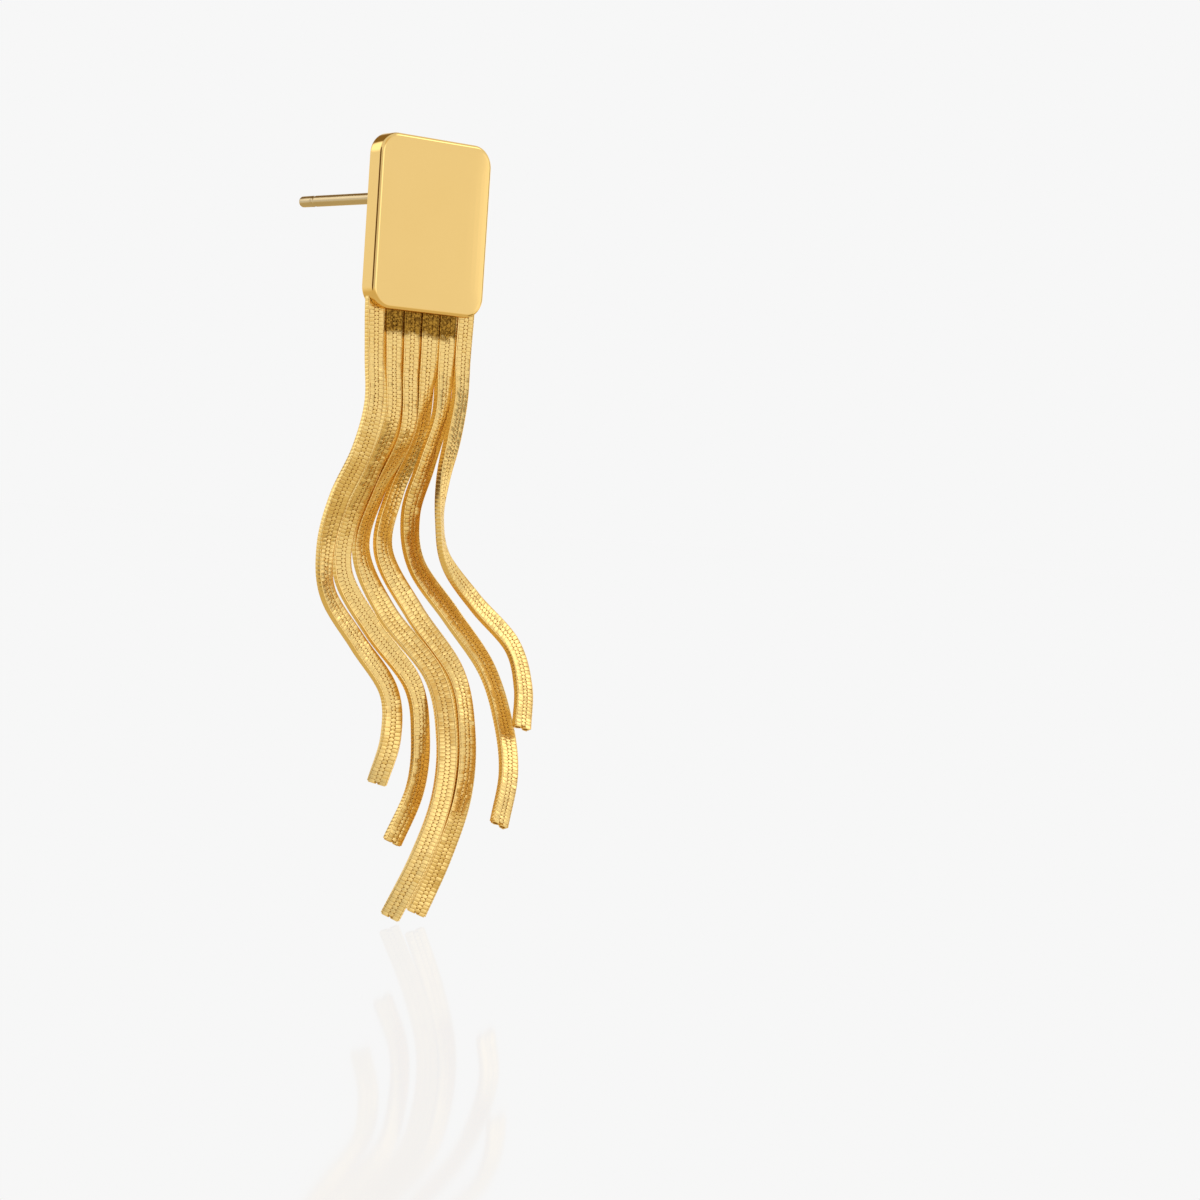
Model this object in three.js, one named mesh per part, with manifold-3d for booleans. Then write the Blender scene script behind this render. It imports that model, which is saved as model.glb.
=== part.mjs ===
// Drop earring: a polished rounded plate with an ear post, and six flat snake-chain strands.
// Millimetres, +Z up. The face looks to -Y and the post points to +Y.
// The origin is the root of the ear post, on the plate's back face.

import * as THREE from 'three';
import { mergeVertices } from 'three/addons/utils/BufferGeometryUtils.js';
import Module from 'manifold-3d';

// Face plate
const PLATE_WIDTH = 9.4;
const PLATE_HEIGHT = 11.55;
const PLATE_THICKNESS = 1.43;
const PLATE_CORNER_RADIUS = 1.45;
const PLATE_EDGE_ROUND = 0.2;
const PLATE_CORNER_STEPS = 9;
const PLATE_EDGE_STEPS = 4;

// Ear post
const POST_DIAMETER = 0.78;
const POST_LENGTH = 13.5;
const POST_BELOW_PLATE_TOP = 3.7;
const POST_TIP_ROUND = 0.22;
const POST_TIP_STEPS = 4;
const POST_SIDES = 24;
const GROOVE_FROM_TIP = 1.55;
const GROOVE_WIDTH = 0.42;
const GROOVE_DEPTH = 0.08;

// Flat snake chain, and how the strands sit side by side in sockets in the plate's lower edge
const CHAIN_WIDTH = 1.37;
const CHAIN_THICKNESS = 0.42;
const CHAIN_EDGE_CUT = 0.06;
const STRAND_GAP = 0.16;
const STRAND_INSET = 0.55;
const STRAND_STEP = 0.66;
const SOCKET_DEPTH = 1.5;

// Room left all round what is fixed to the plate
const SEAT_GAP = 0.02;

// The route of each strand below the plate's lower edge. length is the drop from that edge to
// the cut end. The rows stand at equal parts of the drop: sway is to the right, depth is to the
// back (both mm), and turn is how far the chain's face looks round to the right (degrees).
const STRAND_ROUTES = [
  {
    length: 31.5,
    rows: [
      { sway: 0.2, depth: 0.0, turn: 4 },
      { sway: 0.1, depth: -0.4, turn: 4 },
      { sway: -0.5, depth: -0.15, turn: -4 },
      { sway: -1.55, depth: 0.55, turn: -2 },
      { sway: -1.85, depth: 1.25, turn: 7 },
      { sway: -1.35, depth: 1.4, turn: 20 },
      { sway: 0.9, depth: 0.85, turn: 18 },
      { sway: 3.2, depth: 0.1, turn: 3 },
      { sway: 3.45, depth: -0.15, turn: -19 },
      { sway: 2.65, depth: 0.05, turn: -40 },
    ],
  },
  {
    length: 35.25,
    rows: [
      { sway: 0.2, depth: 0.0, turn: 5 },
      { sway: 0.35, depth: 0.0, turn: 6 },
      { sway: -0.25, depth: 0.95, turn: 8 },
      { sway: -1.15, depth: 1.9, turn: 4 },
      { sway: -1.35, depth: 1.9, turn: 0 },
      { sway: 0.6, depth: 0.85, turn: 2 },
      { sway: 3.15, depth: -0.55, turn: 3 },
      { sway: 3.5, depth: -1.35, turn: 0 },
      { sway: 3.1, depth: -1.6, turn: 0 },
      { sway: 1.5, depth: -1.5, turn: -8 },
    ],
  },
  {
    length: 40.1,
    rows: [
      { sway: 0.13, depth: 0.0, turn: 5 },
      { sway: 0.25, depth: 0.2, turn: 8 },
      { sway: -0.65, depth: 1.65, turn: 19 },
      { sway: -1.2, depth: 2.3, turn: 9 },
      { sway: 0.6, depth: 1.45, turn: -8 },
      { sway: 3.2, depth: -0.8, turn: -15 },
      { sway: 3.3, depth: -2.45, turn: -19 },
      { sway: 2.65, depth: -3.15, turn: -22 },
      { sway: 1.2, depth: -3.05, turn: -28 },
      { sway: -0.55, depth: -2.4, turn: -42 },
    ],
  },
  {
    length: 39.9,
    rows: [
      { sway: 0.02, depth: 0.0, turn: 5 },
      { sway: 0.15, depth: 0.5, turn: 12 },
      { sway: -0.7, depth: 1.6, turn: 8 },
      { sway: -1.35, depth: 1.65, turn: 0 },
      { sway: 0.85, depth: 0.7, turn: -6 },
      { sway: 3.2, depth: -1.2, turn: -3 },
      { sway: 3.25, depth: -2.7, turn: -5 },
      { sway: 2.6, depth: -3.45, turn: -8 },
      { sway: 1.4, depth: -3.25, turn: -12 },
      { sway: -0.1, depth: -2.65, turn: -25 },
    ],
  },
  {
    length: 33.5,
    rows: [
      { sway: 0.0, depth: 0.0, turn: 4 },
      { sway: -0.3, depth: -0.3, turn: 11 },
      { sway: -1.2, depth: -0.2, turn: 0 },
      { sway: -1.85, depth: 0.25, turn: -2 },
      { sway: -0.9, depth: 0.5, turn: 8 },
      { sway: 1.9, depth: -0.1, turn: 5 },
      { sway: 3.75, depth: -1.9, turn: 3 },
      { sway: 3.85, depth: -3.9, turn: -4 },
      { sway: 3.2, depth: -5.6, turn: -8 },
      { sway: 1.5, depth: -6.95, turn: -6 },
    ],
  },
  {
    length: 27.25,
    rows: [
      { sway: -0.06, depth: 0.0, turn: 2 },
      { sway: -0.28, depth: -0.35, turn: 11 },
      { sway: -1.05, depth: -0.8, turn: 11 },
      { sway: -1.75, depth: -0.95, turn: 25 },
      { sway: -1.8, depth: -0.9, turn: 42 },
      { sway: -1.1, depth: -1.0, turn: 37 },
      { sway: 1.25, depth: -1.5, turn: 22 },
      { sway: 3.45, depth: -3.0, turn: 10 },
      { sway: 3.6, depth: -4.3, turn: -3 },
      { sway: 2.75, depth: -5.4, turn: -8 },
    ],
  },
];

// How tightly a route bends at its rows
const ROUTE_TENSION = 0.5;

// Places that follow from the sizes above
const PLATE_TOP_Z = POST_BELOW_PLATE_TOP;
const PLATE_BOTTOM_Z = PLATE_TOP_Z - PLATE_HEIGHT;
const STRAND_PITCH = CHAIN_WIDTH + STRAND_GAP;
const STRAND_Y = -STRAND_INSET;

const plateGold = new THREE.MeshStandardMaterial({ color: 0xe9c67c, roughness: 0.12, metalness: 1 });
const postGold = new THREE.MeshStandardMaterial({ color: 0xdcba80, roughness: 0.2, metalness: 1 });
const chainGold = new THREE.MeshStandardMaterial({ color: 0xe0b765, roughness: 0.25, metalness: 1 });

const manifold = await Module();
manifold.setup();

// A closed geometry as a solid that can be cut.
function toSolid(geometry) {
  const bare = geometry.clone();
  bare.deleteAttribute('normal');
  bare.deleteAttribute('uv');
  const merged = mergeVertices(bare);
  return new manifold.Manifold(new manifold.Mesh({
    numProp: 3,
    vertProperties: new Float32Array(merged.attributes.position.array),
    triVerts: new Uint32Array(merged.index.array),
  }));
}

// A cut solid as a geometry again.
function toGeometry(solid) {
  const mesh = solid.getMesh();
  const geometry = new THREE.BufferGeometry();
  geometry.setAttribute('position', new THREE.BufferAttribute(mesh.vertProperties, mesh.numProp));
  geometry.setIndex(new THREE.BufferAttribute(mesh.triVerts, 1));
  geometry.computeVertexNormals();
  return geometry;
}

// Where strand number `index` stands across the plate.
function strandX(index) {
  return (index - (STRAND_ROUTES.length - 1) / 2) * STRAND_PITCH;
}

// A rectangle with round corners, centred on the origin of its plane.
function roundedRectangle(width, height, radius) {
  const right = width / 2;
  const top = height / 2;
  const shape = new THREE.Shape();
  shape.moveTo(right, radius - top);
  shape.lineTo(right, top - radius);
  shape.absarc(right - radius, top - radius, radius, 0, Math.PI / 2);
  shape.lineTo(radius - right, top);
  shape.absarc(radius - right, top - radius, radius, Math.PI / 2, Math.PI);
  shape.lineTo(-right, radius - top);
  shape.absarc(radius - right, radius - top, radius, Math.PI, 1.5 * Math.PI);
  shape.lineTo(right - radius, -top);
  shape.absarc(right - radius, radius - top, radius, 1.5 * Math.PI, 2 * Math.PI);
  return shape;
}

// The plate is extruded towards its front, with all its long edges rounded, and has one socket
// for each strand.
function makeFacePlate() {
  const outline = roundedRectangle(
    PLATE_WIDTH - 2 * PLATE_EDGE_ROUND,
    PLATE_HEIGHT - 2 * PLATE_EDGE_ROUND,
    PLATE_CORNER_RADIUS - PLATE_EDGE_ROUND,
  );
  const geometry = new THREE.ExtrudeGeometry(outline, {
    depth: PLATE_THICKNESS - 2 * PLATE_EDGE_ROUND,
    bevelEnabled: true,
    bevelThickness: PLATE_EDGE_ROUND,
    bevelSize: PLATE_EDGE_ROUND,
    bevelSegments: PLATE_EDGE_STEPS,
    curveSegments: PLATE_CORNER_STEPS,
  });
  geometry.rotateX(Math.PI / 2);
  geometry.translate(0, -PLATE_EDGE_ROUND, (PLATE_TOP_Z + PLATE_BOTTOM_Z) / 2);
  let solid = toSolid(geometry);
  for (let index = 0; index < STRAND_ROUTES.length; index += 1) {
    solid = solid.subtract(toSolid(makeSocket(strandX(index))));
  }
  const plate = new THREE.Mesh(toGeometry(solid), plateGold);
  plate.name = 'face_plate';
  return plate;
}

// One socket, open at the plate's lower edge, that a strand's end goes up into.
function makeSocket(x) {
  const bottomZ = PLATE_BOTTOM_Z - PLATE_EDGE_ROUND;
  const topZ = PLATE_BOTTOM_Z + SOCKET_DEPTH;
  const socket = new THREE.BoxGeometry(
    CHAIN_WIDTH + 2 * SEAT_GAP,
    CHAIN_THICKNESS + 2 * SEAT_GAP,
    topZ - bottomZ,
  );
  socket.translate(x, STRAND_Y, (topZ + bottomZ) / 2);
  return socket;
}

// The post is turned about its own axis, which is the Y axis, from its foot to its round tip.
function makeEarPost() {
  const radius = POST_DIAMETER / 2;
  const tipY = SEAT_GAP + POST_LENGTH;
  const grooveY = tipY - GROOVE_FROM_TIP;
  const tipArc = new THREE.Path();
  tipArc.absarc(radius - POST_TIP_ROUND, tipY - POST_TIP_ROUND, POST_TIP_ROUND, 0, Math.PI / 2);
  const profile = [
    new THREE.Vector2(0, SEAT_GAP),
    new THREE.Vector2(radius, SEAT_GAP),
    new THREE.Vector2(radius, grooveY - GROOVE_WIDTH / 2),
    new THREE.Vector2(radius - GROOVE_DEPTH, grooveY - GROOVE_WIDTH / 4),
    new THREE.Vector2(radius - GROOVE_DEPTH, grooveY + GROOVE_WIDTH / 4),
    new THREE.Vector2(radius, grooveY + GROOVE_WIDTH / 2),
    ...tipArc.getPoints(POST_TIP_STEPS),
    new THREE.Vector2(0, tipY),
  ];
  const post = new THREE.Mesh(new THREE.LatheGeometry(profile, POST_SIDES), postGold);
  post.name = 'ear_post';
  return post;
}

// A smooth route down one strand. Its frames lay the chain's width along `normals` and turn the
// chain's face (`binormals`) to the front and round by the strand's turn.
class StrandRoute extends THREE.CatmullRomCurve3 {
  constructor(points, turns) {
    super(points, false, 'catmullrom', ROUTE_TENSION);
    const turnPoints = turns.map((turn) => new THREE.Vector3(turn, 0, 0));
    this.turnCurve = new THREE.CatmullRomCurve3(turnPoints, false, 'catmullrom', ROUTE_TENSION);
  }

  computeFrenetFrames(segments) {
    const frames = { tangents: [], normals: [], binormals: [] };
    for (let step = 0; step <= segments; step += 1) {
      const share = step / segments;
      const tangent = this.getTangentAt(share);
      const turn = THREE.MathUtils.degToRad(this.turnCurve.getPoint(this.getUtoTmapping(share)).x);
      const facing = new THREE.Vector3(Math.sin(turn), -Math.cos(turn), 0);
      const across = new THREE.Vector3().crossVectors(facing, tangent).normalize();
      frames.tangents.push(tangent);
      frames.normals.push(across);
      frames.binormals.push(new THREE.Vector3().crossVectors(tangent, across));
    }
    return frames;
  }
}

// The chain's section: a flat bar with its four long edges cut back.
function chainSection() {
  const halfWidth = CHAIN_WIDTH / 2;
  const halfThickness = CHAIN_THICKNESS / 2;
  const section = new THREE.Shape();
  section.moveTo(halfWidth, CHAIN_EDGE_CUT - halfThickness);
  section.lineTo(halfWidth, halfThickness - CHAIN_EDGE_CUT);
  section.lineTo(halfWidth - CHAIN_EDGE_CUT, halfThickness);
  section.lineTo(CHAIN_EDGE_CUT - halfWidth, halfThickness);
  section.lineTo(-halfWidth, halfThickness - CHAIN_EDGE_CUT);
  section.lineTo(-halfWidth, CHAIN_EDGE_CUT - halfThickness);
  section.lineTo(CHAIN_EDGE_CUT - halfWidth, -halfThickness);
  section.lineTo(halfWidth - CHAIN_EDGE_CUT, -halfThickness);
  return section;
}

// One strand, from its end in its socket, straight down to the plate's lower edge, and then along
// its route.
function makeStrand(route, index) {
  const rootX = strandX(index);
  const points = [
    new THREE.Vector3(rootX, STRAND_Y, PLATE_BOTTOM_Z + SOCKET_DEPTH - SEAT_GAP),
    new THREE.Vector3(rootX, STRAND_Y, PLATE_BOTTOM_Z),
  ];
  const turns = [0, 0];
  route.rows.forEach((row, rowIndex) => {
    const drop = (route.length * (rowIndex + 1)) / route.rows.length;
    points.push(new THREE.Vector3(rootX + row.sway, STRAND_Y + row.depth, PLATE_BOTTOM_Z - drop));
    turns.push(row.turn);
  });
  const path = new StrandRoute(points, turns);
  const geometry = new THREE.ExtrudeGeometry(chainSection(), {
    steps: Math.round(path.getLength() / STRAND_STEP),
    bevelEnabled: false,
    extrudePath: path,
  });
  const strand = new THREE.Mesh(geometry, chainGold);
  strand.name = `chain_strand_${index + 1}`;
  return strand;
}

const earring = new THREE.Group();
earring.add(makeFacePlate());
earring.add(makeEarPost());
STRAND_ROUTES.forEach((route, index) => earring.add(makeStrand(route, index)));

export default earring;
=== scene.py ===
"""Looks of a drop earring: a polished plate on an ear post with six flat snake-chain strands.

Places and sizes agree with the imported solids. Lengths are metres unless a line says mm. +Z is up,
the plate's face looks to -Y, and the origin is the root of the ear post on the plate's back.
"""

import logging
import math
import random
from dataclasses import dataclass, field
from enum import Enum

import bmesh
import bpy
from bmesh.types import BMEdge, BMesh, BMFace, BMVert
from bpy.types import Material, Mesh, Node, NodeSocket, NodeTree
from mathutils import Matrix, Vector


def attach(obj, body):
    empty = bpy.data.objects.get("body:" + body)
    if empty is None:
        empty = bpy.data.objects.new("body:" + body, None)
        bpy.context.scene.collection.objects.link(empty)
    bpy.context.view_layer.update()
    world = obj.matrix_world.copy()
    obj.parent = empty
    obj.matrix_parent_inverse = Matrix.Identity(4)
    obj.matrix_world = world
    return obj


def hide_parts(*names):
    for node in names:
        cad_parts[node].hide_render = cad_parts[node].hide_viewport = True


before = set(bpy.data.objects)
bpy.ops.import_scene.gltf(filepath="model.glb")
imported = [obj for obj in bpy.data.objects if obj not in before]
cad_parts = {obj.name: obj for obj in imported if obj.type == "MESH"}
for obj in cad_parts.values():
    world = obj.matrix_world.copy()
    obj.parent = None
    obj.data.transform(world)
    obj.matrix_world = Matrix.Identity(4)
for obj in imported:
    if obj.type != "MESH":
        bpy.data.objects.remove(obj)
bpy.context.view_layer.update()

MM = 0.001
BODY = "root"
log = logging.getLogger("earring")

# Points that are no farther apart than this are one.
SAME_SPOT = 1e-7

# The bevel profile of a circular arc.
ARC = 0.5

# The sRGB curve: a straight foot, and a power above it.
SRGB_FOOT = 0.04045
SRGB_FOOT_SLOPE = 12.92
SRGB_OFFSET = 0.055
SRGB_POWER = 2.4

# The colour sockets of a Mix node, which share their names with its other sockets.
MIX_FIRST, MIX_SECOND, MIX_RESULT = 6, 7, 2

# Which of a strand's materials the insides of the links take: the darker one, whose colour is
# painted shade for the recesses.
INSIDE = 1


class Slot(Enum):
    """The record's material slots."""

    PLATE = "plate_gold"
    POST = "post_gold"
    CHAIN = "chain_gold"


def linear_from_hex(code: str) -> tuple[float, float, float, float]:
    """Turns an sRGB hex colour into the linear colour that a shader takes.

    Args:
        code: Six hex digits, such as "f2cf87".

    Returns:
        Linear red, green, blue and an alpha of 1.
    """
    channels = [int(code[at:at + 2], 16) / 255 for at in (0, 2, 4)]
    linear = [c / SRGB_FOOT_SLOPE if c <= SRGB_FOOT
              else ((c + SRGB_OFFSET) / (1 + SRGB_OFFSET)) ** SRGB_POWER for c in channels]
    return (*linear, 1.0)


def add_node(tree: NodeTree, kind: str, settings: dict | None = None,
             inputs: dict | None = None) -> Node:
    """Adds a node, sets it up and links it.

    Args:
        tree: The node tree that gets the node.
        kind: The node's type.
        settings: Values of the node's own properties.
        inputs: A value, or the output socket to link, for each named or numbered input.

    Returns:
        The new node.
    """
    node = tree.nodes.new(kind)
    for name, value in (settings or {}).items():
        setattr(node, name, value)
    for name, value in (inputs or {}).items():
        if isinstance(value, NodeSocket):
            tree.links.new(value, node.inputs[name])
        else:
            node.inputs[name].default_value = value
    return node


def add_noise(tree: NodeTree, place: NodeSocket, size: float,
              detail: float, roughness: float) -> NodeSocket:
    """Adds soft noise.

    Args:
        tree: The node tree that gets it.
        place: Where the surface is.
        size: Size of its patches.
        detail: Number of finer layers.
        roughness: Strength of each finer layer.

    Returns:
        The noise, which is 0.5 on average.
    """
    noise = add_node(tree, "ShaderNodeTexNoise", inputs={
        "Vector": place, "Scale": 1 / size, "Detail": detail, "Roughness": roughness})
    return noise.outputs["Fac"]


def add_fade(tree: NodeTree, value: NodeSocket, start: float, full: float) -> NodeSocket:
    """Adds a soft step from 0 to 1.

    Args:
        tree: The node tree that gets it.
        value: What the step goes by.
        start: The value where it leaves 0.
        full: The value where it reaches 1.

    Returns:
        The step.
    """
    fade = add_node(tree, "ShaderNodeMapRange", {"interpolation_type": "SMOOTHSTEP"}, {
        "Value": value, "From Min": start, "From Max": full})
    return fade.outputs["Result"]


def mix_colours(tree: NodeTree, share: NodeSocket,
                first: NodeSocket | tuple[float, ...],
                second: NodeSocket | tuple[float, ...]) -> NodeSocket:
    """Mixes two colours.

    Args:
        tree: The node tree that does it.
        share: The second colour's share.
        first: The first colour.
        second: The second colour.

    Returns:
        The mixed colour.
    """
    mix = add_node(tree, "ShaderNodeMix", {"data_type": "RGBA"}, {
        "Factor": share, MIX_FIRST: first, MIX_SECOND: second})
    return mix.outputs[MIX_RESULT]


def sweep_ring(bm: BMesh, edges: list, places: list[Matrix], start: Matrix) -> tuple[list, list]:
    """Extrudes a ring of edges from place to place.

    Args:
        bm: The mesh that holds the ring.
        edges: The ring's edges.
        places: Where the ring goes, one after the other, as absolute transforms.
        start: The transform that the ring is at now.

    Returns:
        The last ring's edges and all the new faces.
    """
    faces = []
    for place in places:
        made = bmesh.ops.extrude_edge_only(bm, edges=edges)["geom"]
        edges = [g for g in made if isinstance(g, BMEdge)]
        verts = [g for g in made if isinstance(g, BMVert)]
        faces += [g for g in made if isinstance(g, BMFace)]
        bmesh.ops.transform(bm, matrix=place @ start.inverted(), verts=verts)
        start = place
    return edges, faces


def extrude_faces(bm: BMesh, faces: list, move: Matrix) -> list:
    """Extrudes faces of a closed shell and leaves none behind inside it.

    Args:
        bm: The mesh.
        faces: The faces to extrude together.
        move: How the extruded faces move.

    Returns:
        The extruded faces.
    """
    made = bmesh.ops.extrude_face_region(bm, geom=faces)["geom"]
    moved = [g for g in made if isinstance(g, BMVert)]
    bmesh.ops.transform(bm, matrix=move, verts=moved)
    bmesh.ops.delete(bm, geom=[f for f in faces if f.is_valid], context="FACES_ONLY")
    return [g for g in made if isinstance(g, BMFace)]


def finish_piece(bm: BMesh, name: str, materials: list[Material],
                 sharp_angle: float) -> None:
    """Turns a bmesh into a finished piece that rides on the earring and replaces its solid.

    Args:
        bm: The mesh, in its place. It is freed.
        name: The CAD node that the piece replaces, which also names the piece.
        materials: The piece's materials, in the order of the faces' indices.
        sharp_angle: Faces that meet at more than this, in degrees, keep a crisp edge.
    """
    mesh = bpy.data.meshes.new(name)
    bm.to_mesh(mesh)
    bm.free()
    mesh.shade_smooth()
    mesh.set_sharp_from_angle(angle=math.radians(sharp_angle))
    for material in materials:
        mesh.materials.append(material)
    piece = bpy.data.objects.new(f"{name}_piece", mesh)
    bpy.context.scene.collection.objects.link(piece)
    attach(piece, BODY)
    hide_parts(name)
    log.info("%s: %d faces", piece.name, len(mesh.polygons))


@dataclass(frozen=True)
class PaintedPlateShade:
    """Painted shade: brown on the first links of the inner strands, standing in for the plate's
    shadow and its dark reflection there.

    Attributes:
        tone, dark_tone: sRGB hex of the painted shade and of its darkest spots.
        spot: Size of those spots.
        full, clear: Heights above which the painted shade is full and below which there is none.
        reach: How far from the middle the painted shade is full, and where it ends.
        ragged: How far up and down its lower edge wanders.
        edge_noise, spot_noise: Detail and roughness of that wandering and of the spots.
        spot_range: Noise at which a spot starts and at which it is darkest.
    """

    tone: str
    dark_tone: str
    spot: float
    full: float
    clear: float
    reach: tuple[float, float]
    ragged: float
    edge_noise: tuple[float, float] = (3.0, 0.7)
    spot_noise: tuple[float, float] = (2.0, 0.6)
    spot_range: tuple[float, float] = (0.42, 0.6)

    def colour(self, tree: NodeTree, place: NodeSocket, unshaded: NodeSocket) -> NodeSocket:
        """Lays the painted shade over a colour.

        Args:
            tree: The material's nodes.
            place: Where the surface is.
            unshaded: The colour without the painted shade.

        Returns:
            The colour with the painted shade.
        """
        parts = add_node(tree, "ShaderNodeSeparateXYZ", inputs={"Vector": place})
        wander = add_noise(tree, place, self.ragged, *self.edge_noise)
        # The noise lifts the level by one ragged on average, and so both limits are lifted too.
        level = add_node(tree, "ShaderNodeMath", {"operation": "MULTIPLY_ADD"}, {
            0: wander, 1: 2 * self.ragged, 2: parts.outputs["Z"]})
        height = add_fade(tree, level.outputs["Value"], self.clear + self.ragged,
                          self.full + self.ragged)
        aside = add_node(tree, "ShaderNodeMath", {"operation": "ABSOLUTE"},
                         {0: parts.outputs["X"]})
        full_reach, end_reach = self.reach
        inner = add_fade(tree, aside.outputs["Value"], end_reach, full_reach)
        share = add_node(tree, "ShaderNodeMath", {"operation": "MULTIPLY"},
                         {0: height, 1: inner})
        spots = add_noise(tree, place, self.spot, *self.spot_noise)
        painted_shade = mix_colours(tree, add_fade(tree, spots, *self.spot_range),
                            linear_from_hex(self.tone), linear_from_hex(self.dark_tone))
        # The painted shade is mixed in here: brown under the plate, in place of its shadow and dark
        # reflection.
        return mix_colours(tree, share.outputs["Value"], unshaded, painted_shade)


@dataclass(frozen=True)
class GoldFinish:
    """Gold plating on brass, with the marks that its making left.

    Attributes:
        name: The material's name.
        tone, warm_tone: sRGB hex of the plating, and of the patches where it is thicker.
        tone_patch: Size of those patches.
        roughness: Lowest and highest roughness of the worked surface.
        grain, relief: Spacing and height of the polishing, drawing or rolling marks.
        grain_stretch: How the marks are drawn out along X, Y and Z.
        specular_tint: sRGB hex of the metal's colour at a flat glance.
        painted_shade: Painted shade laid over the colour, standing in for the plate's shadow and
            its dark reflection.
        patch_noise, grain_noise: Detail and roughness of the patches and of the marks.
        grain_range: Noise of the marks at the lowest and the highest roughness.
    """

    name: str
    tone: str
    warm_tone: str
    tone_patch: float
    roughness: tuple[float, float]
    grain: float
    grain_stretch: tuple[float, float, float]
    relief: float
    specular_tint: str = "fff4dc"
    painted_shade: PaintedPlateShade | None = None
    patch_noise: tuple[float, float] = (2.0, 0.5)
    grain_noise: tuple[float, float] = (3.0, 0.6)
    grain_range: tuple[float, float] = (0.3, 0.7)

    def build(self) -> Material:
        """Makes the material.

        Returns:
            A procedural metal that reads Object coordinates.
        """
        material = bpy.data.materials.new(self.name)
        material.use_nodes = True
        tree = material.node_tree
        tree.nodes.clear()
        place = add_node(tree, "ShaderNodeTexCoord").outputs["Object"]
        patches = add_noise(tree, place, self.tone_patch, *self.patch_noise)
        colour = mix_colours(tree, patches, linear_from_hex(self.tone),
                             linear_from_hex(self.warm_tone))
        # Painted shade of the plate, laid over the colour where the finish has one.
        if self.painted_shade:
            colour = self.painted_shade.colour(tree, place, colour)
        drawn = add_node(tree, "ShaderNodeMapping", {"vector_type": "POINT"}, {
            "Vector": place, "Scale": self.grain_stretch})
        grain = add_noise(tree, drawn.outputs["Vector"], self.grain, *self.grain_noise)
        roughness = add_node(tree, "ShaderNodeMapRange", inputs={
            "Value": grain, "From Min": self.grain_range[0], "From Max": self.grain_range[1],
            "To Min": self.roughness[0], "To Max": self.roughness[1]})
        bump = add_node(tree, "ShaderNodeBump", inputs={
            "Height": grain, "Strength": 1.0, "Distance": self.relief})
        shader = add_node(tree, "ShaderNodeBsdfPrincipled", inputs={
            "Base Color": colour, "Metallic": 1.0,
            "Roughness": roughness.outputs["Result"], "Normal": bump.outputs["Normal"],
            "Specular Tint": linear_from_hex(self.specular_tint)})
        add_node(tree, "ShaderNodeOutputMaterial", inputs={"Surface": shader.outputs["BSDF"]})
        return material


# Gold-plated brass, mirror polished on a soft wheel: it gives a still, slightly wavy reflection.
POLISHED_PLATE = GoldFinish(
    name="plate gold, mirror polished", tone="f6d186", warm_tone="f3cd81", tone_patch=4 * MM,
    roughness=(0.05, 0.09), grain=0.12 * MM, grain_stretch=(1, 1, 1), relief=0.00006 * MM)

# Gold-plated wire, drawn and tumbled: paler, with fine lines along the wire.
DRAWN_POST = GoldFinish(
    name="post gold, drawn wire", tone="d3bf98", warm_tone="c8b288", tone_patch=3 * MM,
    roughness=(0.16, 0.26), grain=0.06 * MM, grain_stretch=(1, 0.05, 1), relief=0.0008 * MM)

# Painted shade: brown on the first links of the four inner strands, just under the plate, standing
# in for the plate's shadow and its dark reflection.
PLATE_SHADE_PAINT = PaintedPlateShade(
    tone="b08434", dark_tone="74501a", spot=0.16 * MM, full=-9.1 * MM, clear=-9.6 * MM,
    reach=(2.95 * MM, 3.15 * MM), ragged=0.7 * MM)

# Gold-plated brass, rolled flat after linking: bright facets with fine rolling marks, and painted
# shade just under the plate.
ROLLED_CHAIN = GoldFinish(
    name="chain gold, rolled bright", tone="f8d88f", warm_tone="f1cc7e", tone_patch=2.5 * MM,
    roughness=(0.2, 0.3), grain=0.05 * MM, grain_stretch=(1, 1, 1), relief=0.0006 * MM,
    painted_shade=PLATE_SHADE_PAINT)

# The bodies of the links between the facets, never rolled and so rougher; their darker, browner
# colour is painted shade for the recesses between and under the facets and for the cut end's
# hollows.
LINK_INSIDE = GoldFinish(
    name="chain gold, inside the links, painted shade", tone="c4964a", warm_tone="946826",
    tone_patch=0.8 * MM, roughness=(0.35, 0.5), grain=0.04 * MM, grain_stretch=(1, 1, 1),
    relief=0.001 * MM, painted_shade=PLATE_SHADE_PAINT)


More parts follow.
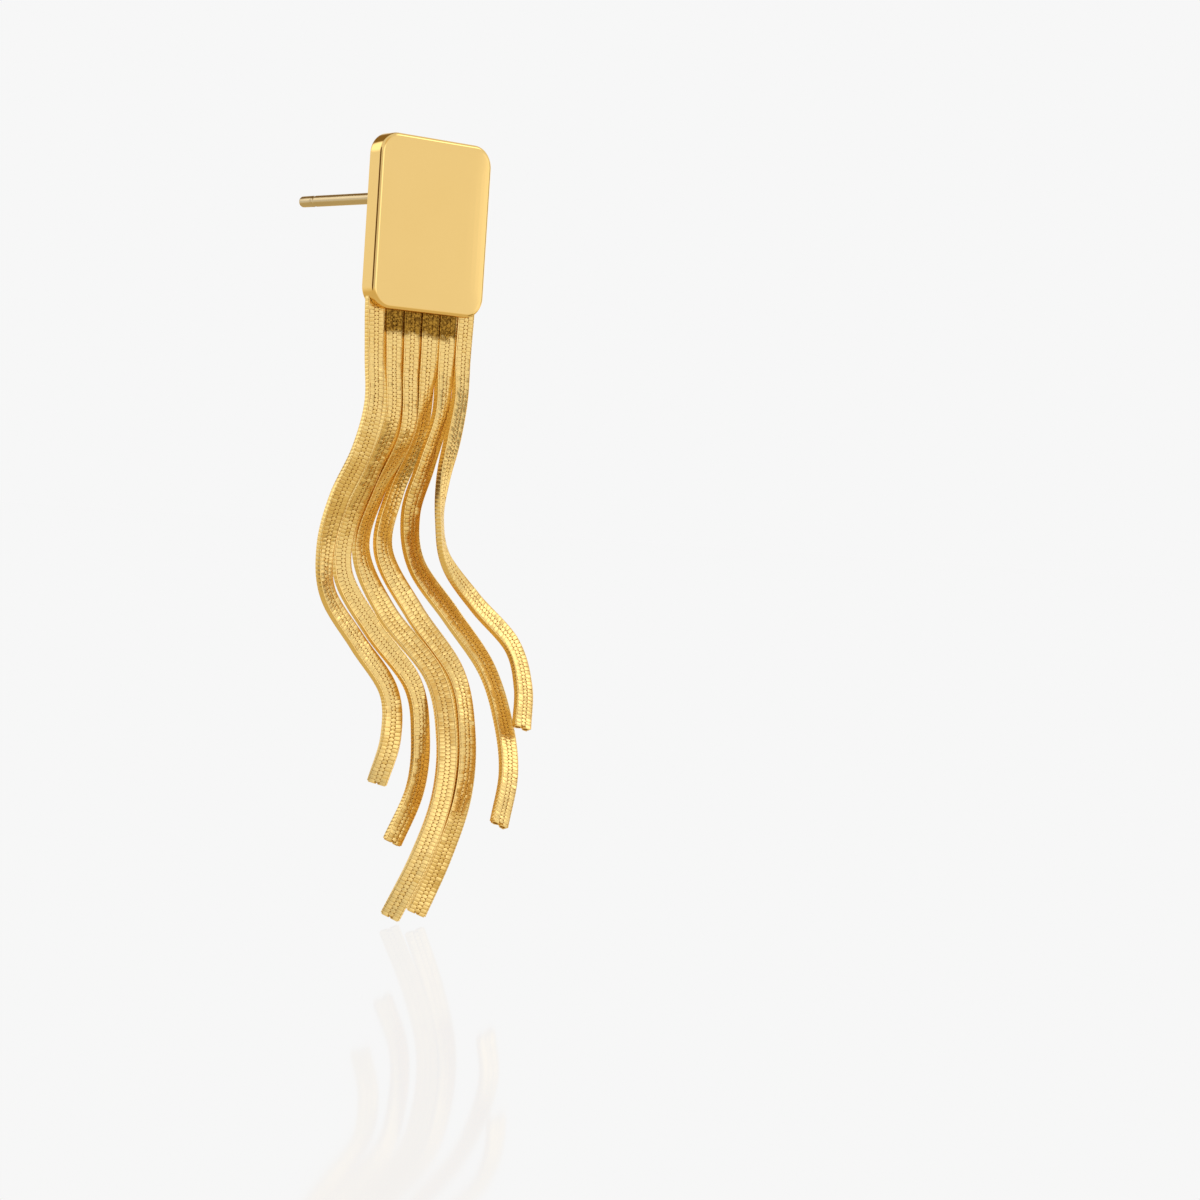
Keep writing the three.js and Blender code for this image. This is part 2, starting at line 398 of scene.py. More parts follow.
@dataclass
class FacePlate:
    """The thick rounded rectangular plate with a socket for each strand in its lower edge.

    Attributes:
        width, height, thickness: Its outer size.
        top: Height of its upper edge.
        corner_radius, corner_steps: Rounding of its corners, and the steps in it.
        edge_round, edge_steps: Rounding of its front and back edges, and the steps in it.
        crown_rings: Width in mm and slope in degrees of each ring of the face, from its rim.
        edge_guard: Width of the ring round each flat.
        socket_width, socket_thickness, socket_depth: Size of a strand's socket.
        lower_wall_lean, wall_slack, front_lean: Parts of a normal that tell the walls and the
            face from the rest.
        flat_side: A face with more area than a square of this side is a flat.
        cut_slack: Points this near to a cut are on it.
        sharp_angle: Angle in degrees above which an edge stays crisp.
    """

    width: float = 9.4 * MM
    height: float = 11.55 * MM
    thickness: float = 1.43 * MM
    top: float = 3.7 * MM
    corner_radius: float = 1.45 * MM
    corner_steps: int = 18
    edge_round: float = 0.26 * MM
    edge_steps: int = 8
    crown_rings: tuple[tuple[float, float], ...] = (
        (0.12, 1.3), (0.2, 0.9), (0.3, 0.6), (0.4, 0.35), (0.5, 0.15))
    edge_guard: float = 0.02 * MM
    socket_width: float = 1.41 * MM
    socket_thickness: float = 0.46 * MM
    socket_depth: float = 1.5 * MM
    lower_wall_lean: float = 0.3
    wall_slack: float = 0.001
    front_lean: float = 0.999
    flat_side: float = 1 * MM
    cut_slack: float = 1e-8
    sharp_angle: float = 40

    @property
    def bottom(self) -> float:
        """Height of the plate's lower edge."""
        return self.top - self.height

    def build(self, socket_places: list[tuple[float, float]]) -> None:
        """Builds the plate.

        Args:
            socket_places: Where each strand stands, across and to the back.
        """
        bm = bmesh.new()
        crown = sum(width * math.tan(math.radians(slope)) for width, slope in self.crown_rings)
        self._add_block(bm, self.thickness - crown * MM)
        self._cut_sockets(bm, socket_places)
        self._crown_face(bm)
        self._guard_flats(bm)
        finish_piece(bm, "face_plate", [POLISHED_PLATE.build()], self.sharp_angle)

    def _add_block(self, bm: BMesh, thickness: float) -> None:
        """Adds the plate's body with its round corners and edges.

        Args:
            bm: The mesh to add to.
            thickness: The body's thickness without the face's crown.
        """
        unit_square = 0.5
        bmesh.ops.create_grid(bm, x_segments=1, y_segments=1, size=unit_square)
        place = (Matrix.Translation((0, 0, self.top - self.height / 2))
                 @ Matrix.Rotation(math.pi / 2, 4, "X")
                 @ Matrix.Diagonal((self.width, self.height, 1, 1)))
        bmesh.ops.transform(bm, matrix=place, verts=bm.verts)
        bmesh.ops.bevel(bm, geom=bm.verts[:], offset=self.corner_radius, offset_type="OFFSET",
                        segments=self.corner_steps, profile=ARC, affect="VERTICES", material=-1)
        made = bmesh.ops.extrude_face_region(bm, geom=bm.faces[:])["geom"]
        moved = [g for g in made if isinstance(g, BMVert)]
        bmesh.ops.translate(bm, vec=(0, -thickness, 0), verts=moved)
        bmesh.ops.recalc_face_normals(bm, faces=bm.faces)
        rims = [e for e in bm.edges if abs(e.verts[0].co.y - e.verts[1].co.y) < SAME_SPOT]
        bmesh.ops.bevel(bm, geom=rims, offset=self.edge_round, offset_type="OFFSET",
                        segments=self.edge_steps, profile=ARC, affect="EDGES", material=-1)

    def _cut_sockets(self, bm: BMesh, places: list[tuple[float, float]]) -> None:
        """Sinks a socket for each strand into the plate's lower edge and round corners.

        Args:
            bm: The plate's mesh.
            places: Where each strand stands, across and to the back.
        """
        half_width = self.socket_width / 2
        half_thickness = self.socket_thickness / 2
        y = places[0][1]
        cuts = [((0, y + side * half_thickness, 0), (0, 1, 0)) for side in (-1, 1)]
        cuts += [((x + side * half_width, 0, 0), (1, 0, 0)) for x, _ in places for side in (-1, 1)]
        for point, normal in cuts:
            bm.normal_update()
            floor = [f for f in bm.faces if self._looks_down(f)]
            around = {g for f in floor for g in (f, *f.edges, *f.verts)}
            bmesh.ops.bisect_plane(bm, geom=list(around), dist=self.cut_slack,
                                   plane_co=point, plane_no=normal)
        bm.normal_update()
        mouths = [f for f in bm.faces if self._looks_down(f) and any(
            abs(f.calc_center_median().x - x) < half_width
            and abs(f.calc_center_median().y - y) < half_thickness for x, _ in places)]
        extrude_faces(bm, mouths, Matrix.Translation((0, 0, self.socket_depth)))

    def _looks_down(self, face: BMFace) -> bool:
        """Tells the faces of the lower wall and its round corners from all others.

        Args:
            face: A face of the plate.

        Returns:
            True where the face looks down, neither to the front nor to the back.
        """
        return face.normal.z < -self.lower_wall_lean and abs(face.normal.y) < self.wall_slack

    def _crown_face(self, bm: BMesh) -> None:
        """Raises the face a little in rings towards its middle, as a polishing wheel leaves it.

        Args:
            bm: The plate's mesh.
        """
        face = max((f for f in bm.faces if f.normal.y < -self.front_lean),
                   key=lambda f: f.calc_area())
        middle = Vector((0, 0, self.top - self.height / 2))
        half_width = self.width / 2 - self.edge_round
        half_height = self.height / 2 - self.edge_round
        for ring, slope in self.crown_rings:
            step = ring * MM
            smaller = Matrix.Diagonal((1 - step / half_width, 1, 1 - step / half_height, 1))
            rise = Vector((0, -step * math.tan(math.radians(slope)), 0))
            move = Matrix.Translation(middle + rise) @ smaller @ Matrix.Translation(-middle)
            face = extrude_faces(bm, [face], move)[0]
            half_width -= step
            half_height -= step

    def _guard_flats(self, bm: BMesh) -> None:
        """Runs a thin ring round each flat, so that the flat stays flat in the reflection.

        Args:
            bm: The plate's mesh.
        """
        flats = [f for f in bm.faces if f.calc_area() > self.flat_side ** 2]
        for flat in flats:
            bmesh.ops.inset_region(bm, faces=[flat], thickness=self.edge_guard,
                                   use_even_offset=True)


@dataclass
class EarPost:
    """The straight round post, with a friction groove near its rounded tip.

    Attributes:
        diameter, length: Its size.
        foot_gap: Gap between the plate's back and its foot.
        tip_round, tip_steps: Rounding of its tip, and the steps in it.
        groove_from_tip: Distance from the tip to the middle of the groove.
        groove_width, groove_depth: Size of the groove.
        groove_floor, groove_edge: The floor's share of that width, and the guard beside it.
        sides: Number of sides.
        sharp_angle: Angle in degrees above which an edge stays crisp.
    """

    diameter: float = 0.78 * MM
    length: float = 13.5 * MM
    foot_gap: float = 0.02 * MM
    tip_round: float = 0.22 * MM
    tip_steps: int = 6
    groove_from_tip: float = 1.55 * MM
    groove_width: float = 0.42 * MM
    groove_depth: float = 0.05 * MM
    groove_floor: float = 0.5
    groove_edge: float = 0.03 * MM
    sides: int = 48
    sharp_angle: float = 50

    def profile(self) -> list[tuple[float, float]]:
        """Works out the post's outline.

        Returns:
            Radius and distance behind the plate, from foot to tip.
        """
        radius = self.diameter / 2
        tip = self.foot_gap + self.length
        groove = tip - self.groove_from_tip
        outer = self.groove_width / 2
        inner = outer * self.groove_floor
        low = radius - self.groove_depth
        points = [(0.0, self.foot_gap), (radius, self.foot_gap),
                  (radius, groove - outer - self.groove_edge), (radius, groove - outer),
                  (low, groove - inner), (low, groove + inner),
                  (radius, groove + outer), (radius, groove + outer + self.groove_edge)]
        for step in range(self.tip_steps + 1):
            turn = math.pi / 2 * step / self.tip_steps
            points.append((radius - self.tip_round * (1 - math.cos(turn)),
                           tip - self.tip_round * (1 - math.sin(turn))))
        points.append((0.0, tip))
        return points

    def build(self) -> None:
        """Spins the outline about the post's axis."""
        bm = bmesh.new()
        verts = [bm.verts.new((r, y, 0)) for r, y in self.profile()]
        edges = [bm.edges.new(pair) for pair in zip(verts, verts[1:])]
        bmesh.ops.spin(bm, geom=verts + edges, cent=(0, 0, 0), axis=(0, 1, 0), dvec=(0, 0, 0),
                       angle=math.tau, steps=self.sides, use_merge=True, use_duplicate=False)
        bmesh.ops.remove_doubles(bm, verts=bm.verts, dist=SAME_SPOT)
        bmesh.ops.recalc_face_normals(bm, faces=bm.faces)
        finish_piece(bm, "ear_post", [DRAWN_POST.build()], self.sharp_angle)


@dataclass(frozen=True)
class Route:
    """The way a strand hangs: its drop below the plate and rows at equal parts of that drop.

    Attributes:
        drop: Height from the plate's lower edge to the cut end, in mm.
        rows: Sway to the right and depth to the back in mm, and the face's turn in degrees.
    """

    drop: float
    rows: tuple[tuple[float, float, float], ...]


ROUTES = (
    Route(31.5, ((0.2, 0.0, 4), (0.1, -0.4, 4), (-0.5, -0.15, -4), (-1.55, 0.55, -2),
                 (-1.85, 1.25, 7), (-1.35, 1.4, 20), (0.9, 0.85, 18), (3.2, 0.1, 3),
                 (3.45, -0.15, -19), (2.65, 0.05, -40))),
    Route(35.25, ((0.2, 0.0, 5), (0.35, 0.0, 6), (-0.25, 0.95, 8), (-1.15, 1.9, 4),
                  (-1.35, 1.9, 0), (0.6, 0.85, 2), (3.15, -0.55, 3), (3.5, -1.35, 0),
                  (3.1, -1.6, 0), (1.5, -1.5, -8))),
    Route(40.1, ((0.13, 0.0, 5), (0.25, 0.2, 8), (-0.65, 1.65, 19), (-1.2, 2.3, 9),
                 (0.6, 1.45, -8), (3.2, -0.8, -15), (3.3, -2.45, -19), (2.65, -3.15, -22),
                 (1.2, -3.05, -28), (-0.55, -2.4, -42))),
    Route(39.9, ((0.02, 0.0, 5), (0.15, 0.5, 12), (-0.7, 1.6, 8), (-1.35, 1.65, 0),
                 (0.85, 0.7, -6), (3.2, -1.2, -3), (3.25, -2.7, -5), (2.6, -3.45, -8),
                 (1.4, -3.25, -12), (-0.1, -2.65, -25))),
    Route(33.5, ((0.0, 0.0, 4), (-0.3, -0.3, 11), (-1.2, -0.2, 0), (-1.85, 0.25, -2),
                 (-0.9, 0.5, 8), (1.9, -0.1, 5), (3.75, -1.9, 3), (3.85, -3.9, -4),
                 (3.2, -5.6, -8), (1.5, -6.95, -6))),
    Route(27.25, ((-0.06, 0.0, 2), (-0.28, -0.35, 11), (-1.05, -0.8, 11), (-1.75, -0.95, 25),
                  (-1.8, -0.9, 42), (-1.1, -1.0, 37), (1.25, -1.5, 22), (3.45, -3.0, 10),
                  (3.6, -4.3, -3), (2.75, -5.4, -8))),
)


@dataclass
class StrandPath:
    """A smooth line through a strand's points, with the turn of the chain's face along it.

    Attributes:
        points, turns: The points from the top, and the face's turn there in degrees.
        steps_per_row: Steps that the line is measured in between two points.
        slack: Distance along the line that is lost in rounding.
        shares: Row number at each step, with the fraction towards the next row.
        distances: Length along the line at each step.
    """

    points: list[Vector]
    turns: list[float]
    steps_per_row: int = 40
    slack: float = 1e-12
    shares: list[float] = field(init=False)
    distances: list[float] = field(init=False)

    def __post_init__(self) -> None:
        """Measures the line."""
        count = (len(self.points) - 1) * self.steps_per_row
        self.shares = [step / self.steps_per_row for step in range(count + 1)]
        spots = [self._blend(self.points, share)[0] for share in self.shares]
        self.distances = [0.0]
        for a, b in zip(spots, spots[1:]):
            self.distances.append(self.distances[-1] + (b - a).length)

    @property
    def length(self) -> float:
        """Length along the line."""
        return self.distances[-1]

    def _blend(self, values: list, share: float) -> tuple:
        """Passes a smooth curve through a list of values.

        Args:
            values: Points or numbers, one for each row.
            share: Row number, with the fraction towards the next row.

        Returns:
            The curve's value and its rate of change there.
        """
        row = min(int(share), len(values) - 2)
        t = share - row
        here, after = values[row], values[row + 1]
        before = values[row - 1] if row else 2 * here - after
        beyond = values[row + 2] if row + 2 < len(values) else 2 * after - here
        start, end = (after - before) / 2, (beyond - here) / 2
        square = 3 * (after - here) - 2 * start - end
        cube = 2 * (here - after) + start + end
        value = here + start * t + square * t * t + cube * t ** 3
        return value, start + 2 * t * square + 3 * t * t * cube

    def place(self, distance: float) -> Matrix:
        """Finds how the chain lies at a distance along the line.

        Args:
            distance: Length along the line from its top.

        Returns:
            A transform with X across the chain, Y to its back and Z up along it.
        """
        distance = min(max(distance, 0.0), self.length)
        step = next(i for i, d in enumerate(self.distances[1:]) if d >= distance - self.slack)
        low, high = self.distances[step], self.distances[step + 1]
        fraction = (distance - low) / (high - low)
        share = self.shares[step] + fraction * (self.shares[step + 1] - self.shares[step])
        spot, slope = self._blend(self.points, share)
        turn = math.radians(self._blend(self.turns, share)[0])
        along = slope.normalized()
        across = Vector((math.sin(turn), -math.cos(turn), 0)).cross(along).normalized()
        back = across.cross(along)
        turned = Matrix((across, back, -along)).transposed().to_4x4()
        return Matrix.Translation(spot) @ turned


@dataclass
class SnakeChain:
    """Flattened snake chain: links with three facets on each side of the band.

    Heights are over the middle of the band's thickness.

    Attributes:
        width, thickness: Size of the band.
        pitch: Spacing of the links, before it is made to fit a strand.
        seam, tip_gap: Gaps between links, and between the facets' points.
        point_reach, point_cut: Reach of the middle facets' points; cut of the edge facets' ones.
        facet_edge: Reach of the edge facets.
        facet_seat, facet_shoulder: Heights between which a facet's wall is upright.
        facet_rim, facet_soft: Widths of a facet's steep rim and of the soft ring inside it.
        facet_dome, facet_crown: How far below the facet's middle the rim and the ring end.
        floor_level, floor_edge: Height of the links' bodies, and how far in they start.
        wall_shoulder, wall_rounding: Points of the band's edge, across and to the back.
        wall_seam, wall_pinch: Scale of the band at a seam, and its reach as a share of the pitch.
        tilt, facet_tilt: Most tilt of a link and spread of the facets' tilts, in degrees.
        link_kinds, seed: Number of different links, and start of the random draws.
        end_inset: How far above the cut end the band stops.
        lobe_centre, lobe_reach: A lobe's distance from the band's middle, and half its size.
        lobe_outline: Scale and height in mm of each ring of a lobe.
        lobe_height, lobe_sides: How far up a lobe starts, and its number of sides.
        sharp_angle: Angle in degrees above which an edge stays crisp.
    """

    width: float = 1.37 * MM
    thickness: float = 0.42 * MM
    pitch: float = 0.26 * MM
    seam: float = 0.009 * MM
    tip_gap: float = 0.012 * MM
    point_reach: float = 0.22 * MM
    point_cut: float = 0.06 * MM
    facet_edge: float = 0.575 * MM
    facet_seat: float = 0.15 * MM
    facet_shoulder: float = 0.199 * MM
    facet_rim: float = 0.003 * MM
    facet_soft: float = 0.035 * MM
    facet_dome: float = 0.006 * MM
    facet_crown: float = 0.0005 * MM
    floor_level: float = 0.16 * MM
    floor_edge: float = 0.01 * MM
    wall_shoulder: tuple[float, float] = (0.595 * MM, 0.202 * MM)
    wall_rounding: tuple[tuple[float, float], ...] = (
        (0.66 * MM, 0.2 * MM), (0.68 * MM, 0.184 * MM), (0.685 * MM, 0.155 * MM))
    wall_seam: float = 0.985
    wall_pinch: float = 0.09
    tilt: float = 1.0
    facet_tilt: float = 2.2
    link_kinds: int = 24
    end_inset: float = 0.08 * MM
    lobe_centre: float = 0.32 * MM
    lobe_reach: tuple[float, float] = (0.295 * MM, 0.178 * MM)
    lobe_outline: tuple[tuple[float, float], ...] = (
        (1.0, 0.06), (0.94, 0.018), (0.82, 0.0), (0.66, 0.014), (0.56, 0.07), (0.5, 0.2))
    lobe_height: float = 0.24 * MM
    lobe_sides: int = 14
    sharp_angle: float = 45
    seed: int = 11

    def link_mesh(self, shake: random.Random) -> Mesh:
        """Makes the six facets of one link, with the link's middle at the origin.

        Args:
            shake: Where the facets' small tilts come from.

        Returns:
            One of the meshes that are repeated along the strands.
        """
        bm = bmesh.new()
        half = self.pitch / 2
        self._add_centre_facet(bm, half, shake)
        self._add_edge_facets(bm, half, shake)
        front = bm.verts[:] + bm.edges[:] + bm.faces[:]
        made = bmesh.ops.duplicate(bm, geom=front)["geom"]
        verts = [g for g in made if isinstance(g, BMVert)]
        bmesh.ops.rotate(bm, verts=verts, cent=(0, 0, 0), matrix=Matrix.Rotation(math.pi, 3, "Z"))
        bmesh.ops.recalc_face_normals(bm, faces=bm.faces)
        mesh = bpy.data.meshes.new("chain_link")
        bm.to_mesh(mesh)
        bm.free()
        return mesh

    def _raise_facet(self, bm: BMesh, face: BMFace, shake: random.Random) -> None:
        """Gives a flat facet its body and its rolled rim, and tilts it a little.

        Args:
            bm: The link's mesh.
            face: The facet's outline on the link's body.
            shake: Where the facet's small tilt comes from.
        """
        others = set(bm.verts) - set(face.verts)
        centre = face.calc_center_median()
        made = bmesh.ops.extrude_face_region(bm, geom=[face])["geom"]
        verts = [g for g in made if isinstance(g, BMVert)]
        top = next(g for g in made if isinstance(g, BMFace))
        rise = self.facet_shoulder - self.facet_seat
        bmesh.ops.translate(bm, vec=(0, -rise, 0), verts=verts)
        top.normal_update()
        if top.normal.y > 0:
            top.normal_flip()
        bmesh.ops.inset_region(bm, faces=[top], thickness=self.facet_rim,
                               depth=self.thickness / 2 - self.facet_dome - self.facet_shoulder,
                               use_even_offset=True)
        bmesh.ops.inset_region(bm, faces=[top], thickness=self.facet_soft,
                               depth=self.facet_dome - self.facet_crown, use_even_offset=True)
        bmesh.ops.poke(bm, faces=[top], offset=self.facet_crown, center_mode="MEAN_WEIGHTED")
        facet = [v for v in bm.verts if v not in others]
        for axis in "XZ":
            lean = math.radians(shake.gauss(0, self.facet_tilt))
            bmesh.ops.rotate(bm, verts=facet, cent=centre, matrix=Matrix.Rotation(lean, 3, axis))

    def _add_centre_facet(self, bm: BMesh, half: float, shake: random.Random) -> None:
        """Adds the six-sided facet in the middle of the band, half a link up.

        Args:
            bm: The link's mesh.
            half: Half the links' pitch.
            shake: Where the facet's small tilt comes from.
        """
        sides = 6
        made = bmesh.ops.create_circle(bm, cap_ends=True, radius=1, segments=sides)["verts"]
        flat_top = math.sin(math.tau / sides)
        shape = (Matrix.Translation((0, -self.facet_seat, half))
                 @ Matrix.Rotation(math.pi / 2, 4, "X")
                 @ Matrix.Diagonal((self.point_reach - self.tip_gap,
                                    (half - self.seam / 2) / flat_top, 1, 1)))
        bmesh.ops.transform(bm, matrix=shape, verts=made)
        self._raise_facet(bm, made[0].link_faces[0], shake)

    def _add_edge_facets(self, bm: BMesh, half: float, shake: random.Random) -> None:
        """Adds the facet at each edge of the band, its point towards the middle cut blunt.

        Args:
            bm: The link's mesh.
            half: Half the links' pitch.
            shake: Where the facets' small tilts come from.
        """
        inner = self.point_reach / 2 + self.tip_gap
        outer = self.point_reach + self.seam / 2
        reach = half - self.seam / 2
        blunt = reach * self.point_cut / (outer - inner)
        outline = ((inner + self.point_cut, blunt), (inner + self.point_cut, -blunt),
                   (outer, -reach), (self.facet_edge, -reach), (self.facet_edge, reach),
                   (outer, reach))
        for side in (-1, 1):
            verts = [bm.verts.new((side * x, -self.facet_seat, z)) for x, z in outline]
            self._raise_facet(bm, bm.faces.new(verts), shake)

    def _wall_section(self) -> list[tuple[float, float]]:
        """Works out the band's section between and beside the facets.

        Returns:
            Points across the band and to its back, once round.
        """
        corner = [(self.wall_shoulder[0] - self.floor_edge, self.floor_level), self.wall_shoulder,
                  *self.wall_rounding]
        half = [(x, -y) for x, y in corner] + corner[::-1]
        return half + [(-x, -y) for x, y in half]

    def _add_band(self, bm: BMesh, path: StrandPath, count: int, pitch: float) -> None:
        """Sweeps the links' bodies along the strand, pinched a little between links.

        Args:
            bm: The strand's mesh.
            path: The strand's line.
            count: Number of links.
            pitch: Spacing of the links.
        """
        stops = []
        end = path.length - self.end_inset
        for link in range(count + 1):
            seam_at = path.length - (count - link) * pitch
            for shift, scale in ((-self.wall_pinch, 1.0), (0.0, self.wall_seam),
                                 (self.wall_pinch, 1.0)):
                distance = seam_at + shift * pitch
                if 0 < distance < end:
                    stops.append((distance, scale))
        stops.append((end, 1.0))
        start = path.place(0)
        ring = [bm.verts.new(start @ Vector((x, y, 0))) for x, y in self._wall_section()]
        edges = [bm.edges.new(pair) for pair in zip(ring, ring[1:] + ring[:1])]
        bm.faces.new(ring)
        places = [path.place(d) @ Matrix.Diagonal((s, s, 1, 1)) for d, s in stops]
        edges, faces = sweep_ring(bm, edges, places, start)
        bmesh.ops.edgeloop_fill(bm, edges=edges)
        # The long faces, between and under the facets, take the darker inside gold: painted shade
        # for these recesses.
        for face in faces:
            if max(edge.calc_length() for edge in face.edges) > self.width / 2:
                face.material_index = INSIDE

    def _add_cut_end(self, bm: BMesh, end: Matrix) -> None:
        """Adds the two open lobes of the cut end.

        Args:
            bm: The strand's mesh.
            end: How the chain lies at its cut end.
        """
        for side in (-1, 1):
            centre = end @ Matrix.Translation((side * self.lobe_centre, 0, 0))
            start = self._lobe_place(centre, 1.0, self.lobe_height)
            made = bmesh.ops.create_circle(bm, cap_ends=True, radius=1, segments=self.lobe_sides,
                                           matrix=start)["verts"]
            edges = list({e for v in made for e in v.link_edges})
            places = [self._lobe_place(centre, scale, height * MM)
                      for scale, height in self.lobe_outline]
            edges, faces = sweep_ring(bm, edges, places, start)
            hole = bmesh.ops.edgeloop_fill(bm, edges=edges)["faces"]
            # The lobe's inner rings and its hole take the darker inside gold: painted shade for the
            # hollow.
            last_two_rings = faces[-2 * self.lobe_sides:]
            for face in [*last_two_rings, *hole]:
                face.material_index = INSIDE

    def _lobe_place(self, centre: Matrix, scale: float, height: float) -> Matrix:
        """Places one ring of a lobe.

        Args:
            centre: Middle of the lobe's mouth.
            scale: The ring's share of the lobe's reach.
            height: How far up in the chain the ring stands.

        Returns:
            The ring's transform.
        """
        size = Matrix.Diagonal((self.lobe_reach[0] * scale, self.lobe_reach[1] * scale, 1, 1))
        return centre @ Matrix.Translation((0, 0, height)) @ size

    def build(self, number: int, path: StrandPath, links: list[Mesh],
              materials: list[Material]) -> None:
        """Builds one strand.

        Args:
            number: The strand's number, from the left.
            path: The strand's line.
            links: The facets of one link, in several kinds.
            materials: The finishes of the facets, and of the links' insides with their painted
                shade.
        """
        bm = bmesh.new()
        count = round(path.length / self.pitch)
        pitch = path.length / count
        self._add_band(bm, path, count, pitch)
        self._add_cut_end(bm, path.place(path.length))
        bmesh.ops.recalc_face_normals(bm, faces=bm.faces)
        shake = random.Random(self.seed + number)
        for step in range(1, count):
            distance = path.length - (step - 0.5) * pitch
            lean, roll = (Matrix.Rotation(
                math.radians(shake.uniform(-self.tilt, self.tilt)), 4, axis) for axis in "XZ")
            copy = shake.choice(links).copy()
            copy.transform(path.place(distance) @ lean @ roll)
            bm.from_mesh(copy)
            bpy.data.meshes.remove(copy)
        finish_piece(bm, f"chain_strand_{number}", materials, self.sharp_angle)


@dataclass
class Strands:
    """The six strands side by side under the plate.

    Attributes:
        chain: The chain that they are cut from.
        gap: Space between neighbours in the plate.
        inset: How far in front of the plate's back they stand.
        seat_gap: Gap between a strand's top and the end of its socket.
    """

    chain: SnakeChain = field(default_factory=SnakeChain)
    gap: float = 0.16 * MM
    inset: float = 0.55 * MM
    seat_gap: float = 0.02 * MM

    def places(self) -> list[tuple[float, float]]:
        """Where each strand stands, across and to the back."""
        pitch = self.chain.width + self.gap
        middle = (len(ROUTES) - 1) / 2
        return [((number - middle) * pitch, -self.inset) for number in range(len(ROUTES))]

    def path(self, route: Route, place: tuple[float, float], plate: FacePlate) -> StrandPath:
        """Lays out one strand's line.

        Args:
            route: The way the strand hangs.
            place: Where it stands, across and to the back.
            plate: The plate that it hangs from.

        Returns:
            The line from the socket down to the cut end.
        """
        x, y = place
        points = [Vector((x, y, plate.bottom + plate.socket_depth - self.seat_gap)),
                  Vector((x, y, plate.bottom))]
        for row, (sway, depth, _) in enumerate(route.rows, start=1):
            drop = route.drop * MM * row / len(route.rows)
            points.append(Vector((x + sway * MM, y + depth * MM, plate.bottom - drop)))
        return StrandPath(points, [0, 0, *(turn for _, _, turn in route.rows)])

    def build(self, plate: FacePlate) -> None:
        """Builds all the strands.

        Args:
            plate: The plate that they hang from.
        """
        shake = random.Random(self.chain.seed)
        links = [self.chain.link_mesh(shake) for _ in range(self.chain.link_kinds)]
        materials = [ROLLED_CHAIN.build(), LINK_INSIDE.build()]
        for number, (route, place) in enumerate(zip(ROUTES, self.places()), start=1):
            self.chain.build(number, self.path(route, place, plate), links, materials)


@dataclass
class PhotoCamera:
    """The camera at the photograph's viewing angle.

    Attributes:
        spot: Where it stands.
        looks_along, up: The directions that it faces.
        lens, sensor: Focal length and width of the sensor, in mm.
        clip: The nearest and the farthest distance that it shows.
    """

    spot: tuple[float, float, float] = (-117.6 * MM, -149.2 * MM, -18.8 * MM)
    looks_along: tuple[float, float, float] = (0.6730, 0.7386, -0.0387)
    up: tuple[float, float, float] = (-0.0223, 0.0726, 0.9971)
    lens: float = 84.9
    sensor: float = 36.0
    clip: tuple[float, float] = (1 * MM, 10.0)

    def build(self) -> None:
        """Makes the camera and gives it to the scene."""
        data = bpy.data.cameras.new("photo_camera")
        data.lens, data.sensor_width = self.lens, self.sensor
        data.clip_start, data.clip_end = self.clip
        back = -Vector(self.looks_along).normalized()
        right = Vector(self.up).cross(back).normalized()
        up = back.cross(right)
        turned = Matrix((right, up, back)).transposed().to_4x4()
        camera = bpy.data.objects.new("photo_camera", data)
        camera.matrix_world = Matrix.Translation(self.spot) @ turned
        bpy.context.scene.collection.objects.link(camera)
        bpy.context.scene.camera = camera


@dataclass(frozen=True)
class TentPanel:
    """A round soft panel or dark flag of the light tent.

    Attributes:
        heading, height: Its middle in degrees, from +X towards +Y and above the horizon.
        core, rim: Half its angle in degrees, at full light and where it has faded out.
        light, tone: Its light, where 1 is plain white, and the sRGB hex of its cloth.
    """

    heading: float
    height: float
    core: float
    rim: float
    light: float
    tone: str = "ffffff"

    @property
    def direction(self) -> tuple[float, float, float]:
        """The way to its middle."""
        around, up = math.radians(self.heading), math.radians(self.height)
        return (math.cos(around) * math.cos(up), math.sin(around) * math.cos(up), math.sin(up))

    @property
    def colour(self) -> tuple[float, ...]:
        """Linear colour of its light."""
        return (*(self.light * c for c in linear_from_hex(self.tone)[:3]), 1.0)


